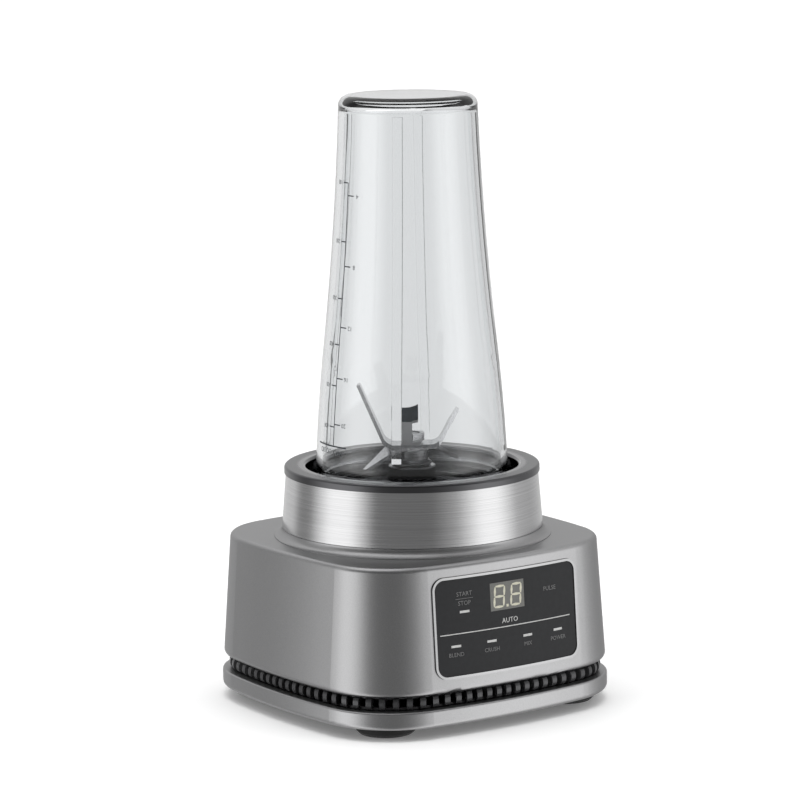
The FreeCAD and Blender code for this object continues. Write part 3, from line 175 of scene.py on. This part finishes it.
def two_tone(name, measure, start, stop, tones, roughs, metal=1.0):
    """A metal that changes from one tone to another over a radius from the axis, or over a height."""
    made = Finish(name, tones[0], roughs[0], metal)
    split = made.node("ShaderNodeSeparateXYZ")
    made.join(made.place(), split.inputs["Vector"])
    distance = split.outputs["Z"]
    if measure == "radius":
        flat = made.node("ShaderNodeCombineXYZ")
        length = made.node("ShaderNodeVectorMath", operation="LENGTH")
        for axis in ("X", "Y"):
            made.join(split.outputs[axis], flat.inputs[axis])
        made.join(flat.outputs["Vector"], length.inputs[0])
        distance = length.outputs["Value"]
    share = made.span(distance, 0.0, 1.0, start, stop)
    made.tint(share, *tones, 0.0, 1.0)
    made.join(made.span(share, *roughs, 0.0, 1.0), made.shader.inputs["Roughness"])
    made.bump(made.noise(1500), 6 * MICRON, strength=0.4)
    return made.material


# ---------------------------------------------------------------- finishes

rim_wide = 8 * MM
rim_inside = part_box("collar_sleeve")[1].x - rim_wide
prong_head = 8.6 * MM
prong_head_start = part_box("center_blade")[1].z - prong_head

MATERIALS = {
    "paint": silver_paint(),
    "collar": brushed("brushed_collar", (0.62, 0.62, 0.625), 0.2, (12, 12, 5200), 12 * MICRON),
    "cutter": brushed("cutter_steel", (0.5, 0.5, 0.51), 0.2, (900, 900, 60), 10 * MICRON),
    "fork": two_tone("ground_steel", "height", prong_head_start, prong_head_start + 0.4 * MM,
                     ((0.6, 0.6, 0.61), (0.05, 0.065, 0.075)), (0.35, 0.3), metal=0.35),
    "turned": brushed("turned_steel", (0.5, 0.5, 0.51), 0.3, (60, 60, 3000), 10 * MICRON),
    "chrome": grained("bright_chrome", (0.45, 0.45, 0.455), 0.2, 900, 4 * MICRON, metal=1.0, change=0.03),
    "rim": two_tone("rim_and_well", "radius", rim_inside - 1.2 * MM, rim_inside + 0.8 * MM,
                    ((0.15, 0.15, 0.155), (0.12, 0.12, 0.125)), (0.08, 0.3)),
    "black": grained("moulded_black", (0.018, 0.018, 0.019), 0.5, 2200, 20 * MICRON),
    "fins": grained("grille_gray", (0.085, 0.085, 0.088), 0.32, 2200, 10 * MICRON, metal=0.6),
    "base_steel": brushed("blade_base_gray", (0.1, 0.1, 0.104), 0.12, (60, 60, 900), 6 * MICRON),
    "lens": grained("smoked_lens", (0.024, 0.0245, 0.026), 0.22, 400, 2 * MICRON, change=0.05,
                    Specular_IOR_Level=0.15),
    "rubber": grained("black_rubber", (0.022, 0.022, 0.022), 0.75, 1600, 30 * MICRON),
    "seal": grained("seal_silicone", (0.2, 0.2, 0.2), 0.55, 900, 20 * MICRON),
    "cast": grained("cast_aluminium", (0.5, 0.5, 0.5), 0.45, 1200, 40 * MICRON, metal=0.9),
    "core": brushed("core_laminations", (0.22, 0.22, 0.23), 0.45, (20, 20, 2200), 50 * MICRON),
    "copper": brushed("wound_copper", (0.62, 0.3, 0.14), 0.35, (40, 40, 1300), 100 * MICRON),
    "brass": grained("plain_brass", (0.7, 0.52, 0.25), 0.3, 800, 10 * MICRON, metal=1.0),
    "carbon": grained("brush_carbon", (0.03, 0.03, 0.03), 0.6, 2500, 30 * MICRON),
    "board": grained("board_green", (0.01, 0.1, 0.04), 0.35, 600, 10 * MICRON),
    "white": grained("diffuser_white", (0.75, 0.75, 0.72), 0.4, 500, 10 * MICRON, change=0.04),
    "clear": clear_plastic(),
    "window": grained("display_gray", (0.14, 0.14, 0.13), 0.4, 1800, 4 * MICRON, change=0.1),
    "digits": grained("digit_cream", (0.62, 0.6, 0.48), 0.45, 1200, 4 * MICRON, change=0.06),
    "bars": grained("indicator_white", (0.55, 0.55, 0.54), 0.4, 1200, 4 * MICRON, change=0.05),
    "print": grained("printed_gray", (0.15, 0.15, 0.15), 0.5, 1800, 4 * MICRON, change=0.1),
    "scale": grained("scale_ink", (0.03, 0.036, 0.042), 0.5, 1800, 4 * MICRON, change=0.15),
}

NODE_FINISH = {
    "paint": ["main_housing", "skirt_band"],
    "collar": ["collar_sleeve"],
    "cutter": ["lower_blade", "upper_blade"],
    "fork": ["center_blade"],
    "turned": ["blade_shaft", "blade_spacer", "blade_nut", "motor_shaft", "upper_bearing", "lower_bearing",
               "motor_screws", "housing_screws", "brush_springs", "plunger_spring"],
    "chrome": ["panel_bezel"],
    "rim": ["cup_well"],
    "fins": ["vent_grille"],
    "black": ["base_tray", "panel_carrier", "cooling_fan", "fan_shroud", "drive_coupling",
              "driven_coupling", "interlock_plunger", "safety_switch", "cable_gland", "power_components"],
    "base_steel": ["blade_base"],
    "lens": ["panel_lens", "display_module"],
    "rubber": ["rubber_feet", "motor_mounts", "well_seal"],
    "seal": ["cup_gasket", "shaft_seal"],
    "cast": ["motor_upper_bracket", "motor_lower_bracket"],
    "core": ["stator_core", "rotor_core"],
    "copper": ["field_coils", "rotor_windings", "commutator"],
    "brass": ["brush_holders", "blade_bearing"],
    "carbon": ["carbon_brushes"],
    "board": ["control_board", "touch_board"],
    "white": ["light_guides"],
    "clear": ["cup"],
}


def dress(piece, finish):
    piece.data.materials.clear()
    piece.data.materials.append(MATERIALS[finish])


def dress_frame():
    for finish, names in NODE_FINISH.items():
        for name in names:
            dress(NODES[name], finish)


# ---------------------------------------------------------------- modelling helpers

def clear_selection():
    bpy.ops.object.select_all(action="DESELECT")


def active():
    return bpy.context.view_layer.objects.active


def settle():
    """Apply the active object's place, turn and scale to its mesh."""
    bpy.ops.object.transform_apply(location=True, rotation=True, scale=True)
    return active()


def apply_modifier(piece, kind, name, **settings):
    clear_selection()
    piece.select_set(True)
    bpy.context.view_layer.objects.active = piece
    modifier = piece.modifiers.new(name, kind)
    for key, value in settings.items():
        setattr(modifier, key, value)
    bpy.ops.object.modifier_apply(modifier=modifier.name)


def joined(name, pieces):
    """One piece from several, under its final name."""
    clear_selection()
    for piece in pieces:
        piece.select_set(True)
    bpy.context.view_layer.objects.active = pieces[0]
    if len(pieces) > 1:
        bpy.ops.object.join()
    piece = active()
    piece.name = name
    return piece


def finish_piece(piece, body, finish):
    dress(piece, finish)
    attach(piece, body)


def lettering(words, size, place, turn):
    """Generic words as a flat mesh, centred on their place."""
    clear_selection()
    bpy.ops.object.text_add(location=place, rotation=turn)
    text = active()
    text.data.body = words
    text.data.size = size
    text.data.align_x, text.data.align_y = "CENTER", "CENTER"
    text.data.resolution_u = 2
    bpy.ops.object.convert(target="MESH")
    return settle()


def strip(size, place, turn, steps=1):
    """A thin flat strip, divided along its length so that it can follow a curve."""
    clear_selection()
    bpy.ops.mesh.primitive_grid_add(x_subdivisions=steps, y_subdivisions=1, size=1, location=place,
                                    rotation=turn)
    active().scale = (*size, 1)
    return settle()


def lay_on(piece, node, axis, lift, thickness):
    """Press flat graphics on a curved face along one axis and give them a little body."""
    sides = {f"use_project_{letter}": letter == axis for letter in "xyz"}
    apply_modifier(piece, "SHRINKWRAP", "lay", wrap_method="PROJECT", target=node, offset=lift,
                   use_negative_direction=True, use_positive_direction=True, **sides)
    apply_modifier(piece, "SOLIDIFY", "body", thickness=thickness, offset=0)


# ---------------------------------------------------------------- control panel graphics

PANEL_TURN = (math.radians(90), 0, 0)
lens_low, lens_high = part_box("panel_lens")
panel_middle = (lens_low.z + lens_high.z) / 2
before_panel = lens_low.y - 3 * MM

# millimetres across and above the panel's centre
WINDOW_ACROSS, WINDOW_WIDE, WINDOW_TALL = -0.6, 19.4, 13
DIGITS_ABOVE, FIRST_DIGIT, SECOND_DIGIT = 11.4, -5.2, 4.4
START_ACROSS = -24.6
KEYS_ABOVE, KEY_WORDS_ABOVE = -8.75, -12.75
KEYS = [("BLEND", -30.2), ("CRUSH", -10.6), ("MIX", 10.2), ("POWER", 28.7)]

DIGIT_TALL = 9.6
DIGIT_WIDE = DIGIT_TALL * 0.56
SEGMENT_WIDE = DIGIT_TALL * 0.13
SEGMENT_GAP = SEGMENT_WIDE * 0.12
DIGIT_SLANT = 0.1
DIGIT_LEAN = 5

WINDOW_LIFT, PRINT_LIFT, DIGIT_LIFT = 0.03 * MM, 0.05 * MM, 0.07 * MM
THIN_FILM, THICK_FILM = 0.02 * MM, 0.03 * MM


def on_panel(across, above):
    """A place in front of the panel, from its centre, in millimetres."""
    return (across * MM, before_panel, panel_middle + above * MM)


def stretch_ends(piece, reach):
    """Pull the two halves of a small flat shape apart along X."""
    for side in (-1, 1):
        bpy.ops.object.mode_set(mode="EDIT")
        bpy.ops.mesh.select_mode(type="VERT")
        bpy.ops.mesh.select_all(action="DESELECT")
        bpy.ops.object.mode_set(mode="OBJECT")
        for vertex in piece.data.vertices:
            vertex.select = vertex.co.x * side > 10 * MICRON
        bpy.ops.object.mode_set(mode="EDIT")
        bpy.ops.transform.translate(value=(side * reach, 0, 0))
        bpy.ops.object.mode_set(mode="OBJECT")


def segment(length, turn, place):
    """One bar of a digit, with pointed ends, turned in the panel's plane."""
    clear_selection()
    bpy.ops.mesh.primitive_circle_add(vertices=6, radius=SEGMENT_WIDE / 2 * MM, fill_type="NGON")
    bar = active()
    stretch_ends(bar, length * MM / 2)
    bar.rotation_euler = PANEL_TURN
    settle()
    bar.rotation_euler = (0, -math.radians(turn), 0)
    bar.location = place
    return settle()


def seven_segment(across):
    """One digit of seven bars, whose top leans to the right."""
    half = DIGIT_TALL / 2
    taken = SEGMENT_WIDE + SEGMENT_GAP * 2
    made = [segment(DIGIT_WIDE - taken, 0, on_panel(across + level * DIGIT_SLANT, DIGITS_ABOVE + level))
            for level in (-half, 0, half)]
    for side in (-1, 1):
        for level in (-half / 2, half / 2):
            x = side * DIGIT_WIDE / 2 + level * DIGIT_SLANT
            made.append(segment(half - taken, 90 - DIGIT_LEAN, on_panel(across + x, DIGITS_ABOVE + level)))
    return made


def display_window():
    window = joined("display_window", [
        strip((WINDOW_WIDE * MM, WINDOW_TALL * MM), on_panel(WINDOW_ACROSS, 11.45), PANEL_TURN, 8)])
    lay_on(window, NODES["panel_lens"], "y", WINDOW_LIFT, THIN_FILM)
    finish_piece(window, "base", "window")


def display_digits():
    """Two digits with a square point between them."""
    made = seven_segment(FIRST_DIGIT) + seven_segment(SECOND_DIGIT)
    made.append(strip((1.2 * MM, 1.2 * MM), on_panel(-0.8, 6.7), PANEL_TURN))
    digits = joined("display_digits", made)
    lay_on(digits, NODES["panel_lens"], "y", DIGIT_LIFT, THICK_FILM)
    finish_piece(digits, "base", "digits")


def indicator_bars():
    """The dividing line, and a short light bar for the start key and each key of the lower row."""
    made = [strip((75 * MM, 0.45 * MM), on_panel(-0.9, -3.05), PANEL_TURN, 40)]
    for place in [(-24.8, 6.85)] + [(across, KEYS_ABOVE) for _, across in KEYS]:
        made.append(strip((5.2 * MM, 1.1 * MM), on_panel(*place), PANEL_TURN, 3))
    bars = joined("indicator_bars", made)
    lay_on(bars, NODES["panel_lens"], "y", PRINT_LIFT, THICK_FILM)
    finish_piece(bars, "base", "bars")


def panel_lettering():
    """The names of the keys, with a hairline between START and STOP."""
    words = [("START", 2.9, START_ACROSS, 15.05), ("STOP", 2.9, -24.7, 10.75), ("PULSE", 2.9, 24.7, 11.25)]
    words += [(word, 2.7, across, KEY_WORDS_ABOVE) for word, across in KEYS]
    made = [lettering(word, size * MM, on_panel(across, above), PANEL_TURN)
            for word, size, across, above in words]
    made.append(strip((9.5 * MM, 0.2 * MM), on_panel(START_ACROSS, 12.9), PANEL_TURN, 4))
    names = joined("panel_lettering", made)
    lay_on(names, NODES["panel_lens"], "y", PRINT_LIFT, THIN_FILM)
    finish_piece(names, "base", "print")


def panel_program():
    """The brighter word over the dividing line."""
    word = joined("panel_program", [lettering("AUTO", 3.3 * MM, on_panel(0.3, -0.25), PANEL_TURN)])
    lay_on(word, NODES["panel_lens"], "y", PRINT_LIFT, THIN_FILM)
    finish_piece(word, "base", "bars")


# ---------------------------------------------------------------- cup scale

SCALE_TURN = (-math.radians(90), 0, math.radians(90))
UPRIGHT_TURN = (math.radians(90), math.radians(90), math.radians(90))
beside_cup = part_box("cup")[0].x - 4 * MM

# each mark's amount and its height in millimetres, with the cup mouth down
MILLILITRES = [(100, 250.3), (200, 222.7), (300, 196.0), (400, 174.4), (500, 155.1), (600, 135.7)]
OUNCES = [(4, 244.4), (8, 211.3), (12, 182.7), (16, 158.7), (20, 137.0)]
SCALE_TOP, FILL_LIMIT = MILLILITRES[0][1], 126.6
LINE_WIDE, LIMIT_WIDE = 0.55, 0.7
NUMBER_SIZE, WORD_SIZE = 3.0, 3.3


def on_cup(along, level):
    """A place beside the cup's left wall, in millimetres."""
    return (beside_cup, along * MM, level * MM)


def marks(amounts, length, mark_along, number_along):
    """Short lines with their numbers, on one side of the scale's upright line."""
    made = []
    for amount, level in amounts:
        made.append(strip((length * MM, LINE_WIDE * MM), on_cup(mark_along, level), SCALE_TURN, 3))
        made.append(lettering(str(amount), NUMBER_SIZE * MM, on_cup(number_along, level), SCALE_TURN))
    return made


def cup_scale():
    """The volume scale, which reads upright when the cup stands on its closed end."""
    made = [strip(((SCALE_TOP - FILL_LIMIT) * MM, LINE_WIDE * MM), on_cup(0, (SCALE_TOP + FILL_LIMIT) / 2),
                  UPRIGHT_TURN, 60)]
    made += marks(MILLILITRES, 4, 2, 7.4)
    made += marks(OUNCES, 4.4, -2.2, -6.8)
    made.append(strip((24 * MM, LIMIT_WIDE * MM), on_cup(3, FILL_LIMIT), SCALE_TURN, 16))
    made.append(lettering("MAX LIQUID", WORD_SIZE * MM, on_cup(3, FILL_LIMIT - 2.6), SCALE_TURN))
    scale = joined("cup_scale", made)
    lay_on(scale, NODES["cup"], "x", 0.04 * MM, 0.03 * MM)
    finish_piece(scale, "cup", "scale")


# ---------------------------------------------------------------- stage

CAMERA_AZIMUTH, CAMERA_HEIGHT, CAMERA_ROLL = map(math.radians, (-35.4, 9.21, -0.64))
CAMERA_AIM, CAMERA_DISTANCE = Vector((0, 0, 144.02 * MM)), 1731.5 * MM
CAMERA_LENS, CAMERA_SENSOR, CAMERA_SHIFT = 163.25, 36, -0.01395

STRIP_LIGHTS = [  # degrees round from the camera, brightness
    (-180, 0.75), (-132, 0.75), (-118, 0.3), (-103, 0.3), (-78, 1.5), (-56, 1.5), (-34, 0.22), (18, 0.2),
    (40, 0.5), (64, 1.5), (82, 1.5), (106, 0.6), (130, 0.5), (180, 0.75)]
PALE_WALL, DARK_WALL = (0.62, 0.63, 0.64, 1), (0.01, 0.01, 0.01, 1)
CEILING_LIGHT, CEILING_IN_REFLECTIONS = 4.2, 0.25
MIX_SHARE, MIX_FIRST, MIX_SECOND, MIX_RESULT = 0, 6, 7, 2        # a Mix node's sockets for colours


def surroundings():
    """Light from all round: tall soft boxes to the camera's left and right, dim between, bright overhead.

    Reflections see the soft boxes' upper part and the ceiling dark, and clear parts see paler walls.
    """
    world = bpy.data.worlds.new("studio")
    world.use_nodes = True
    tree = world.node_tree
    join = tree.links.new

    def node(kind, **settings):
        made = tree.nodes.new(kind)
        for key, value in settings.items():
            setattr(made, key, value)
        return made

    def span(value, start, stop, low, high):
        made = node("ShaderNodeMapRange")
        for socket, number in zip(("From Min", "From Max", "To Min", "To Max"), (start, stop, low, high)):
            made.inputs[socket].default_value = number
        join(value, made.inputs["Value"])
        return made.outputs["Result"]

    def worked(operation, *values):
        made = node("ShaderNodeMath", operation=operation)
        for socket, value in zip(made.inputs, values):
            if isinstance(value, float):
                socket.default_value = value
            else:
                join(value, socket)
        return made.outputs["Value"]

    def mixed(share, colour, other):
        made = node("ShaderNodeMix", data_type="RGBA")
        join(share, made.inputs[MIX_SHARE])
        join(colour, made.inputs[MIX_FIRST])
        made.inputs[MIX_SECOND].default_value = other
        return made.outputs[MIX_RESULT]

    def chosen(share, one, other):
        made = node("ShaderNodeMixShader")
        for socket, source in zip(made.inputs, (share, one, other)):
            join(source, socket)
        return made.outputs["Shader"]

    way = node("ShaderNodeTexCoord")
    parts = node("ShaderNodeSeparateXYZ")
    join(way.outputs["Generated"], parts.inputs["Vector"])
    height = parts.outputs["Z"]
    bearing = worked("ARCTAN2", parts.outputs["Y"], parts.outputs["X"])
    from_camera = worked("WRAP", worked("SUBTRACT", bearing, CAMERA_AZIMUTH - math.pi / 2), math.pi, -math.pi)

    strips = node("ShaderNodeValToRGB")
    ramp = strips.color_ramp
    brightest = max(level for _, level in STRIP_LIGHTS)
    while len(ramp.elements) < len(STRIP_LIGHTS):
        ramp.elements.new(0.5)
    for element, (degrees, level) in zip(ramp.elements, STRIP_LIGHTS):
        element.position = (degrees + 180) / 360
        element.color = (level / brightest,) * 3 + (1,)
    join(span(from_camera, -math.pi, math.pi, 0, 1), strips.inputs["Fac"])

    seen = node("ShaderNodeLightPath")
    in_front = span(worked("COSINE", from_camera), -0.1, 0.3, 0, 1)
    front_tops = worked("MULTIPLY", in_front, span(height, 0.12, 0.32, 0, 0.9))
    dimmed = worked("MULTIPLY", front_tops, seen.outputs["Is Glossy Ray"])
    wall_colour = mixed(dimmed, strips.outputs["Color"], DARK_WALL)
    wall_colour = mixed(span(seen.outputs["Is Transmission Ray"], 0, 1, 0, 0.22), wall_colour, PALE_WALL)

    walls = node("ShaderNodeBackground")
    walls.inputs["Strength"].default_value = brightest
    join(wall_colour, walls.inputs["Color"])
    ceiling = node("ShaderNodeBackground")
    join(span(seen.outputs["Is Glossy Ray"], 0, 1, CEILING_LIGHT, CEILING_IN_REFLECTIONS),
         ceiling.inputs["Strength"])
    backdrop = node("ShaderNodeBackground")
    backdrop.inputs["Color"].default_value = (1, 1, 1, 1)

    room = chosen(span(height, 0.9, 0.96, 0, 1), walls.outputs["Background"], ceiling.outputs["Background"])
    join(chosen(seen.outputs["Is Camera Ray"], room, backdrop.outputs["Background"]),
         tree.nodes["World Output"].inputs["Surface"])
    bpy.context.scene.world = world


def pale_floor():
    """A wide floor just under the feet, left out of reflections and of what clear parts show."""
    clear_selection()
    bpy.ops.mesh.primitive_plane_add(size=60, location=(0, 0, cad_low.z - 0.3 * MM))
    floor = active()
    floor.name = "floor"
    floor.visible_glossy = False
    floor.visible_transmission = False
    paint = Finish("pale_floor", (0.93, 0.93, 0.93), 0.7, Emission_Color=(1, 1, 1, 1), Emission_Strength=0.12)
    floor.data.materials.append(paint.material)


def top_light():
    """A weak soft box overhead, a little behind the cup."""
    lamp = bpy.data.lights.new("top_box", "AREA")
    lamp.shape = "RECTANGLE"
    lamp.size, lamp.size_y = 1.6, 1.6
    lamp.energy = 6
    holder = bpy.data.objects.new("top_box", lamp)
    holder.location = (-0.3, 0.2, 1.9)
    holder.rotation_mode = "QUATERNION"
    aim = Vector((0, 0, 0.13)) - holder.location
    holder.rotation_quaternion = aim.to_track_quat("-Z", "Y")
    bpy.context.scene.collection.objects.link(holder)


def camera():
    """The camera in front and to the left, a little above the middle, with a slight roll."""
    lens = bpy.data.cameras.new("camera")
    lens.sensor_width = CAMERA_SENSOR
    lens.lens = CAMERA_LENS
    lens.shift_x = CAMERA_SHIFT
    holder = bpy.data.objects.new("camera", lens)
    bpy.context.scene.collection.objects.link(holder)
    back = Vector((math.sin(CAMERA_AZIMUTH) * math.cos(CAMERA_HEIGHT),
                   -math.cos(CAMERA_AZIMUTH) * math.cos(CAMERA_HEIGHT), math.sin(CAMERA_HEIGHT)))
    holder.location = CAMERA_AIM + back * CAMERA_DISTANCE
    holder.rotation_mode = "QUATERNION"
    holder.rotation_quaternion = (-back).to_track_quat("-Z", "Y") @ Quaternion((0, 0, 1), CAMERA_ROLL)
    bpy.context.scene.camera = holder


bpy.context.scene.view_settings.view_transform = "Standard"
dress_frame()
display_window()
display_digits()
indicator_bars()
panel_lettering()
panel_program()
cup_scale()
surroundings()
pale_floor()
top_light()
camera()
